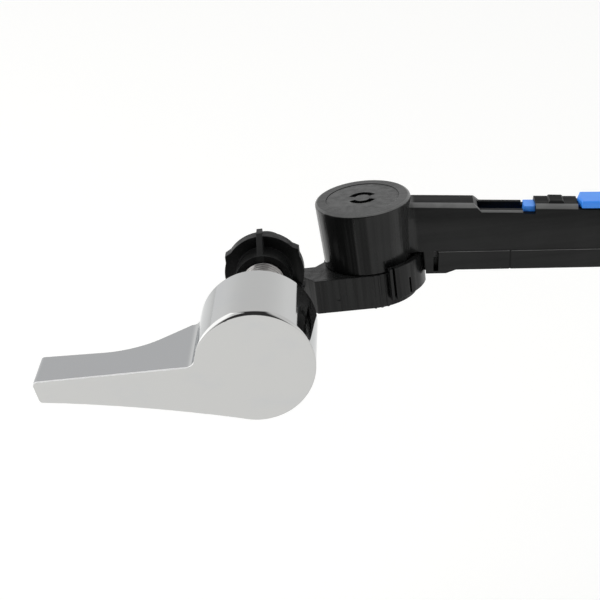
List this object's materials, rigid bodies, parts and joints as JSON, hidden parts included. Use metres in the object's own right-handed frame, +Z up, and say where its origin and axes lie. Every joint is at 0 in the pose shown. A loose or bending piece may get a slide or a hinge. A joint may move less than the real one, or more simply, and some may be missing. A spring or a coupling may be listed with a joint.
{
  "type": "cistern lever",
  "caption": "Chromed flush handle on a threaded bush with a ribbed clamp nut, driving a crank with a swivelling box arm and a sliding blue extension for the lift chain.",
  "frame": {"origin": "on the spindle's axis at the outer face of the tank wall, which the rubber washer bears on", "axes": "+X along the arm, +Y along the spindle into the tank, +Z up"},
  "size_m": [0.2493, 0.1052, 0.0379],
  "materials": {
    "chrome_handle": "polished chrome plate",
    "zinc_metal": "satin zinc",
    "screw_steel": "plated steel",
    "black_plastic": "satin moulded",
    "blue_plastic": "satin moulded",
    "washer_rubber": "matt"
  },
  "bodies": {
    "mounting": {"threaded_bush": "zinc_metal", "wall_washer": "washer_rubber"},
    "nut": {"clamp_nut": "black_plastic"},
    "lever": {"handle": "chrome_handle", "handle_grub_screw": "screw_steel", "spindle": "zinc_metal", "crank": "black_plastic", "crank_washer": "screw_steel", "crank_screw": "screw_steel", "pivot_washer": "screw_steel", "pivot_screw": "screw_steel"},
    "arm": {"arm_sleeve": "black_plastic", "drum_cap": "black_plastic", "pivot_spring_washer": "screw_steel"},
    "extension": {"extension_arm": "blue_plastic"}
  },
  "joints": [
    {"name": "handle_turn", "type": "hinge", "parent": "mounting", "child": "lever", "pos_m": [0, 0, 0], "axis": [0, -1, 0], "range_deg": [0, 38]},
    {"name": "arm_swivel", "type": "hinge", "parent": "lever", "child": "arm", "pos_m": [0.0339, 0.0578, 0], "axis": [0, 0, 1], "range_deg": [0, 90]},
    {"name": "arm_extend", "type": "slide", "parent": "arm", "child": "extension", "axis": [0.9945, 0, -0.1045], "range_m": [0, 0.02]},
    {"name": "nut_travel", "type": "slide", "parent": "mounting", "child": "nut", "axis": [0, -1, 0], "range_m": [0, 0.025]}
  ]
}
